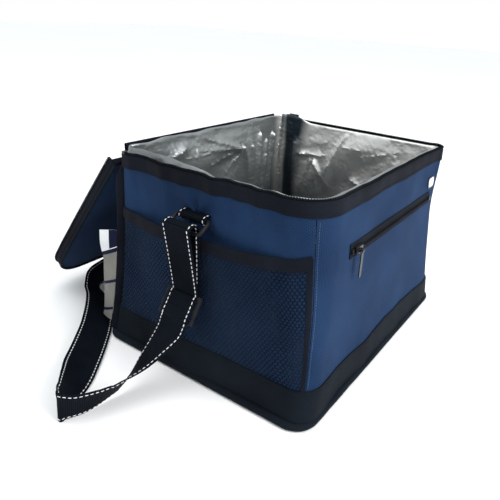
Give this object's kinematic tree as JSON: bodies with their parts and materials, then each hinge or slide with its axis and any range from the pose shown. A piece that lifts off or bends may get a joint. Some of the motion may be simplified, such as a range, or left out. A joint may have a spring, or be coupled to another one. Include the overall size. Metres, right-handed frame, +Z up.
{
  "type": "insulated cooler bag",
  "caption": "Soft insulated cooler bag with a zipped lid thrown back, foil lining, front zip pocket, mesh side pockets and an adjustable shoulder strap on plastic rings.",
  "frame": {"origin": "middle of the base's underside, on the floor", "axes": "+Z up, -Y out of the front face with the zipped pocket, +X to the right along that face"},
  "size_m": [0.5096, 0.4474, 0.2387],
  "materials": {
    "navy_fabric": "matt woven polyester",
    "black_fabric": "matt woven tape",
    "mesh": "open net",
    "foam": "closed-cell foam",
    "board": "stiff sheet",
    "silver_film": "wrinkled foil film",
    "webbing": "ribbed webbing with pale stitching",
    "black_plastic": "moulded",
    "zip_nylon": "moulded coil",
    "zip_metal": "dark lacquer",
    "white_label": "bare woven label"
  },
  "bodies": {
    "bag": {"base_panel": "black_fabric", "base_board": "board", "base_foam": "foam", "base_piping": "black_fabric", "base_band": "black_fabric", "front_panel": "navy_fabric", "back_panel": "navy_fabric", "left_end_panel": "navy_fabric", "right_end_panel": "navy_fabric", "front_foam": "foam", "back_foam": "foam", "left_end_foam": "foam", "right_end_foam": "foam", "liner": "silver_film", "rim_tape": "black_fabric", "rim_zip_coil": "zip_nylon", "rim_zip_stops": "zip_metal", "rim_hinge_strip": "black_fabric", "back_left_binding": "black_fabric", "back_right_binding": "black_fabric", "care_tag": "white_label", "front_patch": "white_label", "pocket_pouch": "black_fabric", "pocket_zip_tapes": "black_fabric", "pocket_zip_coil": "zip_nylon", "pocket_zip_stops": "zip_metal", "left_mesh": "mesh", "left_mesh_binding": "black_fabric", "right_mesh": "mesh", "right_mesh_binding": "black_fabric", "left_tab": "webbing", "right_tab": "webbing", "strap_drop": "webbing", "slide_buckle": "black_plastic", "shoulder_strap": "webbing", "right_strap_loop": "webbing"},
    "lid": {"lid_panel": "navy_fabric", "lid_foam": "foam", "lid_liner": "silver_film", "lid_skirt": "black_fabric", "lid_zip_coil": "zip_nylon", "lid_piping": "black_fabric", "lid_hinge_strip": "black_fabric"},
    "main_slider": {"main_zip_slider": "zip_metal"},
    "main_pull": {"main_zip_pull": "zip_metal"},
    "pocket_slider": {"pocket_zip_slider": "zip_metal"},
    "pocket_pull": {"pocket_zip_pull": "zip_metal"},
    "left_ring_body": {"left_ring": "black_plastic"},
    "right_ring_body": {"right_ring": "black_plastic"}
  },
  "joints": [
    {"name": "lid_hinge", "type": "hinge", "parent": "bag", "child": "lid", "pos_m": [0, 0.1335, 0.236], "axis": [1, 0, 0], "range_deg": [0, 231]},
    {"name": "main_zip_slide", "type": "slide", "parent": "bag", "child": "main_slider", "axis": [0, -1, 0], "range_m": [0, 0.192]},
    {"name": "main_pull_swing", "type": "hinge", "parent": "main_slider", "child": "main_pull", "pos_m": [0.1631, 0.106, 0.2343], "axis": [0, -1, 0], "range_deg": [0, 160]},
    {"name": "pocket_zip_slide", "type": "slide", "parent": "bag", "child": "pocket_slider", "axis": [1, 0, 0], "range_m": [0, 0.199]},
    {"name": "pocket_pull_swing", "type": "hinge", "parent": "pocket_slider", "child": "pocket_pull", "pos_m": [-0.0865, -0.14112, 0.169], "axis": [-1, 0, 0], "range_deg": [0, 160]},
    {"name": "left_ring_swing", "type": "hinge", "parent": "bag", "child": "left_ring_body", "pos_m": [-0.16344, 0.012, 0.1865], "axis": [0, 1, 0], "range_deg": [0, 20]},
    {"name": "right_ring_swing", "type": "hinge", "parent": "bag", "child": "right_ring_body", "pos_m": [0.16344, 0.012, 0.1865], "axis": [0, -1, 0], "range_deg": [0, 20]}
  ]
}
